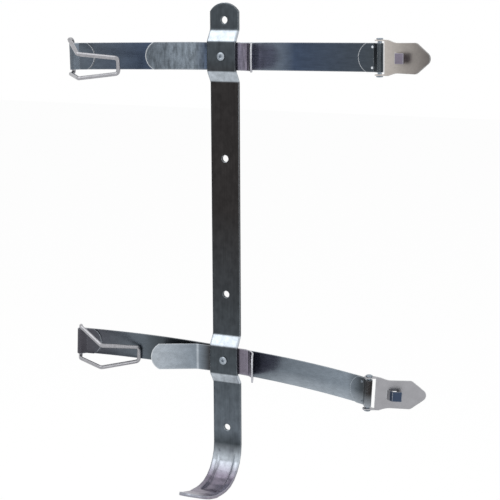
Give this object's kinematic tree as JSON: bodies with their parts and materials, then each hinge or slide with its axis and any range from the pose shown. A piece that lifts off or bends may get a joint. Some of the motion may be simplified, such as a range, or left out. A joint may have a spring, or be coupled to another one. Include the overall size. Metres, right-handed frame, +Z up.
{
  "type": "vehicle cylinder bracket",
  "caption": "Wall or vehicle bracket for a small gas cylinder: steel backbone with foot hook, cradles and swivelling latch bands.",
  "frame": {"origin": "centre of the flat wall face of the backbone strap, midway between the two bands", "axes": "+Y into the wall, -Y towards the cylinder, +Z up along the backbone, +X towards the levers"},
  "size_m": [0.3757, 0.0925, 0.4852],
  "materials": {
    "plated_strap": "dark zinc plate, satin with fine rolling marks",
    "plated_cradle": "dark zinc plate, satin",
    "plated_band": "blue-grey zinc plate, satin",
    "rivet_steel": "plated, semi-bright",
    "pin_steel": "bright plated",
    "bail_wire": "bright plated drawn wire",
    "lever_steel": "satin stainless sheet"
  },
  "bodies": {
    "frame": {"backbone_strap": "plated_strap", "upper_cradle": "plated_cradle", "lower_cradle": "plated_cradle", "upper_rivet": "rivet_steel", "lower_rivet": "rivet_steel"},
    "upper_arm": {"upper_band": "plated_band", "upper_hinge_pin": "pin_steel"},
    "lower_arm": {"lower_band": "plated_band", "lower_hinge_pin": "pin_steel"},
    "upper_bail_loop": {"upper_bail": "bail_wire"},
    "lower_bail_loop": {"lower_bail": "bail_wire"},
    "upper_latch": {"upper_lever": "lever_steel"},
    "lower_latch": {"lower_lever": "lever_steel"}
  },
  "joints": [
    {"name": "upper_band_swivel", "type": "hinge", "parent": "frame", "child": "upper_arm", "pos_m": [0, -0.0048, 0.152], "axis": [0, 1, 0], "range_deg": [-9.2, 10.8]},
    {"name": "lower_band_swivel", "type": "hinge", "parent": "frame", "child": "lower_arm", "pos_m": [0, -0.0048, -0.152], "axis": [0, 1, 0], "range_deg": [-12.8, 7.2]},
    {"name": "upper_bail_swing", "type": "hinge", "parent": "upper_arm", "child": "upper_bail_loop", "pos_m": [-0.15729, -0.02462, 0.1498], "axis": [-0.014, 0, 0.9999], "range_deg": [-174, 25]},
    {"name": "lower_bail_swing", "type": "hinge", "parent": "lower_arm", "child": "lower_bail_loop", "pos_m": [-0.15704, -0.0266, -0.14432], "axis": [0.0489, 0, 0.9988], "range_deg": [-200, 0]},
    {"name": "upper_lever_swing", "type": "hinge", "parent": "upper_arm", "child": "upper_latch", "pos_m": [0.16184, -0.01369, 0.15426], "axis": [-0.014, 0, 0.9999], "range_deg": [-85, 154]},
    {"name": "lower_lever_swing", "type": "hinge", "parent": "lower_arm", "child": "lower_latch", "pos_m": [0.16105, -0.02957, -0.15988], "axis": [0.0489, 0, 0.9988], "range_deg": [-124, 102]}
  ]
}
